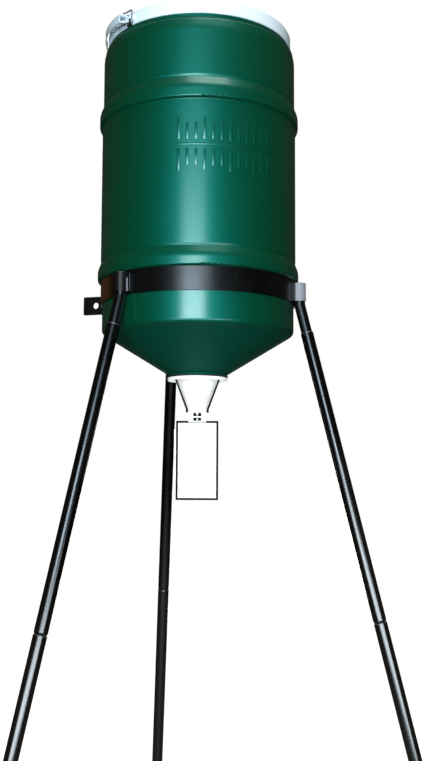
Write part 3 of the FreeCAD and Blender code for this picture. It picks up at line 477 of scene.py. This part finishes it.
beads = []
for azimuth in LEG_AZIMUTHS.values():
    for edge in (-1, 1):
        ends = [around(azimuth, band_radius, z, edge * (SADDLE_HALF + 0.9 * MM))
                for z in (saddle_low + 2 * MM, saddle_high - 2 * MM)]
        beads.append(bead("bead", *ends, 2.6 * MM))
tab_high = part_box("accessory_tab")[1].z
for edge in (-1, 1):
    ends = [around(TAB_AZIMUTH, band_radius, z, edge * 3.2 * MM)
            for z in (band_low + 3 * MM, tab_high - 2 * MM)]
    beads.append(bead("bead", *ends, 2.2 * MM))
beads = applied(joined(beads, "band_beads"), "REMESH", mode="VOXEL", voxel_size=0.0007)
finished(beads, "band_paint", "stand")

# %% Foot beads
foot_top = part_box("foot_left")[1].z
drops = []
for side in LEG_AZIMUTHS:
    rim = [v.co for v in nodes[side + "_leg_lower"].data.vertices if v.co.z < foot_top + 0.1 * MM]
    middle = sum(rim, Vector()) / len(rim)
    reach = max((point - middle).length for point in rim)
    for i in range(36):
        angle = math.tau * i / 36
        place = middle + Vector((math.cos(angle), math.sin(angle), 0)) * (reach + 0.4 * MM)
        bpy.ops.mesh.primitive_uv_sphere_add(segments=12, ring_count=8, radius=2.8 * MM,
                                             location=place)
        drops.append(bpy.context.object)
foot_beads = applied(joined(drops, "foot_beads"), "REMESH", mode="VOXEL", voxel_size=0.0007)
finished(foot_beads, "leg_paint", "stand")

# %% [markdown]
# ## Raised marks
# The barrel's front carries a raised patch that comes out of the mould with it: one long bar and a
# row of short upright bars over and under it, like a plain scale. Each bar is a small
# upright rectangle spun about the barrel's axis, so it follows the wall exactly.

# %% Raised marks
WALL_R = 243 * MM
RELIEF = 1.0 * MM


def raised_bar(first, last, low, high):
    """A bar on the wall between two azimuths and two heights above the band's top."""
    depth = 3 * MM
    bpy.ops.object.select_all(action="DESELECT")
    bpy.ops.mesh.primitive_plane_add(size=1)
    bar = bpy.context.object
    bar.scale = (depth, high - low, 1)
    bar.rotation_euler = (math.radians(90), 0, 0)
    bar.location = (WALL_R + RELIEF - depth / 2, 0, band_top + (low + high) / 2)
    bpy.ops.object.transform_apply(location=True, rotation=True, scale=True)
    bpy.ops.object.mode_set(mode="EDIT")
    bpy.ops.mesh.select_all(action="SELECT")
    bpy.ops.mesh.spin(steps=max(2, round((last - first) / 2)), angle=math.radians(first - last),
                      center=(0, 0, 0), axis=(0, 0, 1))
    bpy.ops.mesh.select_all(action="SELECT")
    bpy.ops.transform.rotate(value=math.radians(90 - first), orient_axis="Z",
                             center_override=(0, 0, 0))
    bpy.ops.object.mode_set(mode="OBJECT")
    return bar


bars = [raised_bar(-13, 44, 0.279, 0.284)]
for i in range(12):
    azimuth = -12 + i * 4.8
    tall = 40 if i % 3 else 52
    bars.append(raised_bar(azimuth, azimuth + 1.5, 0.292, 0.292 + tall * MM))
    bars.append(raised_bar(azimuth, azimuth + 1.5, 0.271 - tall * MM, 0.271))
marks = joined(bars, "raised_marks")
across = [v.co.x for v in marks.data.vertices]
print("marks span", round(min(across), 3), "to", round(max(across), 3))
marks = applied(marks, "BEVEL", width=0.5 * MM, segments=2, limit_method="ANGLE")
finished(marks, "green_barrel", "stand")

# %% [markdown]
# ## Tube rims
# Each tube's mouth is trimmed and its paint is rubbed to bare metal where the next tube is pushed
# in. A thin ring on every mouth shows that. The rings lie square to the leg, which leans.

# %% Tube rims
SPLAY = math.radians(14.22)
LEAN_TURN = -7.7
TUBE_R = 15.4 * MM
LEG_START_R = band_radius + 13.3 * MM
LEG_START_Z = band_low - 2 * MM
RIM_PLACES = (74.4 * MM, 774.4 * MM, 1474.4 * MM)


def leg_way(azimuth):
    """Unit vector down a leg."""
    angle = math.radians(azimuth + LEAN_TURN)
    return Vector((math.sin(SPLAY) * math.sin(angle), -math.sin(SPLAY) * math.cos(angle),
                   -math.cos(SPLAY)))


rims = []
for azimuth in LEG_AZIMUTHS.values():
    way = leg_way(azimuth)
    start = around(azimuth, LEG_START_R, LEG_START_Z)
    for distance in RIM_PLACES:
        bpy.ops.object.select_all(action="DESELECT")
        bpy.ops.mesh.primitive_torus_add(
            location=start + way * distance, rotation=way.to_track_quat("Z", "Y").to_euler(),
            major_segments=48, minor_segments=8, major_radius=TUBE_R - 0.7 * MM,
            minor_radius=0.9 * MM)
        rims.append(bpy.context.object)
rims = joined(rims, "tube_rims")
finished(rims, "rubbed_steel", "stand")

# %% [markdown]
# ## Screws and rivets
# The solid model's fasteners are plain heads. Each is replaced by one with its real shape: a domed
# rivet, and a pan head with a cross recess. One of each is modelled, and copies go to every place.

# %% Rivets and screws
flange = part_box("funnel")[1].z
box_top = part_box("control_box")[1].z


def copies(model, places, name):
    """Copies of a model, each with its own mesh, at a list of places, joined."""
    made = []
    for place in places:
        twin = model.copy()
        twin.data = model.data.copy()
        bpy.context.scene.collection.objects.link(twin)
        twin.location = place
        made.append(twin)
    bpy.data.objects.remove(model)
    return joined(made, name)


def draw_out(obj, facing, inset, by):
    """Insets the largest flat face that faces one way, and draws the middle out."""
    only(obj)
    way = Vector(facing)
    flat = [face for face in obj.data.polygons if face.normal.dot(way) > 0.999]
    largest = max(flat, key=lambda face: face.area)
    for group in (obj.data.polygons, obj.data.edges, obj.data.vertices):
        group.foreach_set("select", [False] * len(group))
    largest.select = True
    bpy.ops.object.mode_set(mode="EDIT")
    bpy.ops.mesh.select_mode(type="FACE")
    bpy.ops.mesh.inset(thickness=inset)
    bpy.ops.mesh.extrude_region_move(TRANSFORM_OT_translate={"value": by})
    bpy.ops.object.mode_set(mode="OBJECT")


def dome(radius, height, shank, length, down):
    """A rivet: half a ball, flattened, and its shank drawn out of the flat side."""
    bpy.ops.object.select_all(action="DESELECT")
    bpy.ops.mesh.primitive_uv_sphere_add(segments=24, ring_count=12, radius=radius)
    head = bpy.context.object
    bpy.ops.object.mode_set(mode="EDIT")
    bpy.ops.mesh.select_all(action="SELECT")
    bpy.ops.mesh.bisect(plane_co=(0, 0, 0), plane_no=(0, 0, 1), clear_inner=True, use_fill=True)
    bpy.ops.object.mode_set(mode="OBJECT")
    head.scale = (1, 1, height / radius)
    bpy.ops.object.transform_apply(scale=True)
    draw_out(head, (0, 0, -1), radius - shank, (0, 0, -length))
    if down:
        head.rotation_euler = (math.pi, 0, 0)
        bpy.ops.object.transform_apply(rotation=True)
    return head


def pan_head(radius, height, shank, length):
    """A screw whose head faces down, with a cross recess, and its shank above."""
    bpy.ops.object.select_all(action="DESELECT")
    bpy.ops.mesh.primitive_cylinder_add(vertices=40, radius=radius, depth=height,
                                        location=(0, 0, -height / 2))
    head = bpy.context.object
    bpy.ops.object.transform_apply(location=True)
    applied(head, "BEVEL", width=height * 0.4, segments=4, limit_method="ANGLE")
    draw_out(head, (0, 0, 1), radius - height * 0.4 - shank, (0, 0, length))
    for turn_by in (0, math.pi / 2):
        bpy.ops.object.select_all(action="DESELECT")
        bpy.ops.mesh.primitive_cube_add(size=1, location=(0, 0, -height), rotation=(0, 0, turn_by))
        cutter = bpy.context.object
        cutter.scale = (radius * 1.1, radius * 0.26, height * 1.1)
        bpy.ops.object.transform_apply(location=True, rotation=True, scale=True)
        applied(head, "BOOLEAN", operation="DIFFERENCE", object=cutter, solver="EXACT")
        bpy.data.objects.remove(cutter)
    return head


places = [(x * MM, y * MM, box_top + 1.6 * MM) for x in (-15, 15) for y in (-44.5, 44.5)]
low_rivets = copies(dome(3.0 * MM, 1.7 * MM, 1.55 * MM, 3.8 * MM, False), places, "low_rivets")
places = [(x * MM, y * MM, flange - 2.8 * MM) for x in (-15, 15) for y in (-64, 64)]
high_rivets = copies(dome(3.0 * MM, 1.7 * MM, 1.55 * MM, 2.7 * MM, True), places, "high_rivets")
rivets = joined([low_rivets, high_rivets], "strap_rivet_heads")
finished(rivets, "zinc_screws", "stand")
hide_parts("strap_rivets")
places = [around(45 + 90 * i, 65 * MM, flange - 1.2 * MM) for i in range(4)]
screws = copies(pan_head(4.6 * MM, 3.0 * MM, 2.4 * MM, 13.2 * MM), places, "flange_screw_heads")
finished(screws, "zinc_screws", "stand", angle=30)
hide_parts("flange_screws")

# %% [markdown]
# ## The lid's ribs
# A moulded lid is stiffened by ribs that run from a middle boss to its raised rim. Each rib is a
# cube drawn out and bevelled, and the boss and the outer ring are turned rings.

# %% Lid ribs
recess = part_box("lid")[1].z - 19 * MM
RIB_REACH = 208 * MM
ribs = []
for i in range(12):
    bpy.ops.object.select_all(action="DESELECT")
    bpy.ops.mesh.primitive_cube_add(size=1)
    rib = bpy.context.object
    rib.scale = (RIB_REACH - 40 * MM, 5 * MM, 7 * MM)
    turn_by = math.radians(30 * i)
    rib.location = Vector((math.cos(turn_by), math.sin(turn_by), 0)) * (RIB_REACH + 40 * MM) / 2
    rib.location.z = recess + 2.0 * MM
    rib.rotation_euler = (0, 0, turn_by)
    ribs.append(rib)
for radius, thick in ((42, 2.6), (120, 2.2), (204, 2.6)):
    bpy.ops.object.select_all(action="DESELECT")
    bpy.ops.mesh.primitive_torus_add(location=(0, 0, recess), major_segments=96,
                                     minor_segments=12, major_radius=radius * MM,
                                     minor_radius=thick * MM)
    ribs.append(bpy.context.object)
ribs = applied(joined(ribs, "lid_ribs"), "BEVEL", width=1.2 * MM, segments=2,
               limit_method="ANGLE", angle_limit=math.radians(60))
finished(ribs, "lid_plastic", "lid")

# %% [markdown]
# ## Floor and light
# A plain pale floor and a pale surround keep the eye on the feeder. The main light is a row of soft
# panels in front, one over another, which draw the upright highlight down the barrel. One panel
# lies above, and a warm one stands behind for the views from the back. It is narrow, so that
# the barrel's edges don't mirror it to the front. The surround looks white to the camera but
# lights the feeder more gently, so the dark colours stay deep.

# %% Floor
bpy.ops.object.select_all(action="DESELECT")
bpy.ops.mesh.primitive_circle_add(vertices=96, radius=60, fill_type="NGON",
                                  location=(0, 0, -0.0005))
floor = bpy.context.object
floor.name = "floor"
floor_skin = Finish("floor_paint")
looked_at = floor_skin.node("ShaderNodeLightPath", output="Is Camera Ray")
floor.data.materials.append(floor_skin.surface(
    Base_Color=floor_skin.blend(looked_at, rgb(0.12, 0.115, 0.11), rgb(0.90, 0.90, 0.90)),
    Roughness=floor_skin.noise(30, 2, 0.5) * 0.1 + 0.6,
    Emission_Color=floor_skin.blend(looked_at, rgb(0, 0, 0), rgb(1, 1, 1)),
    Emission_Strength=1.0,
))

# %% Surround
world = bpy.data.worlds.new("surround")
world.use_nodes = True
bpy.context.scene.world = world
sky = world.node_tree
sky.nodes.clear()
ray = sky.nodes.new("ShaderNodeLightPath")
seen = sky.nodes.new("ShaderNodeBackground")
seen.inputs["Color"].default_value = rgb(1, 1, 1)
seen.inputs["Strength"].default_value = 1.0
felt = sky.nodes.new("ShaderNodeBackground")
felt.inputs["Color"].default_value = rgb(1.0, 0.82, 0.55)
felt.inputs["Strength"].default_value = 0.045
mix = sky.nodes.new("ShaderNodeMixShader")
sky.links.new(ray.outputs["Is Camera Ray"], mix.inputs["Fac"])
sky.links.new(felt.outputs[0], mix.inputs[1])
sky.links.new(seen.outputs[0], mix.inputs[2])
sky_out = sky.nodes.new("ShaderNodeOutputWorld")
sky.links.new(mix.outputs[0], sky_out.inputs["Surface"])


# %% Panels
def panel(name, place, target, width, height, power, colour):
    light = bpy.data.lights.new(name, "AREA")
    light.shape = "RECTANGLE"
    light.size, light.size_y = width, height
    light.energy = power
    light.color = colour
    lamp = bpy.data.objects.new(name, light)
    lamp.location = place
    lamp.rotation_mode = "QUATERNION"
    lamp.rotation_quaternion = (Vector(target) - Vector(place)).to_track_quat("-Z", "Y")
    bpy.context.scene.collection.objects.link(lamp)
    return lamp


def front_panel(name, x, low, high, width, power):
    """A panel that faces the barrel, between two heights above the band's top."""
    middle = band_top + (low + high) / 2
    panel(name, (x, -3.4, middle), (0, 0, middle), width, high - low, power, (0.86, 0.95, 1.0))


front_panel("key_low", -0.32, 0.00, 0.60, 1.5, 92)
front_panel("key_mid", -0.32, 0.60, 1.20, 1.5, 18)
front_panel("key_high", -0.25, 1.20, 2.10, 2.4, 2)
front_panel("window", 0.2, -1.35, -0.40, 4.4, 92)
panel("top", (0.4, -1.2, 5.4), (0, 0, 2.8), 1.6, 1.6, 50, (1.0, 0.98, 0.92))
behind = panel("behind", (0, 3.4, 1.9), (0, 0, 1.9), 0.8, 2.4, 50, (1.0, 0.88, 0.66))
behind.visible_camera = False
bpy.context.scene.view_settings.view_transform = "Standard"
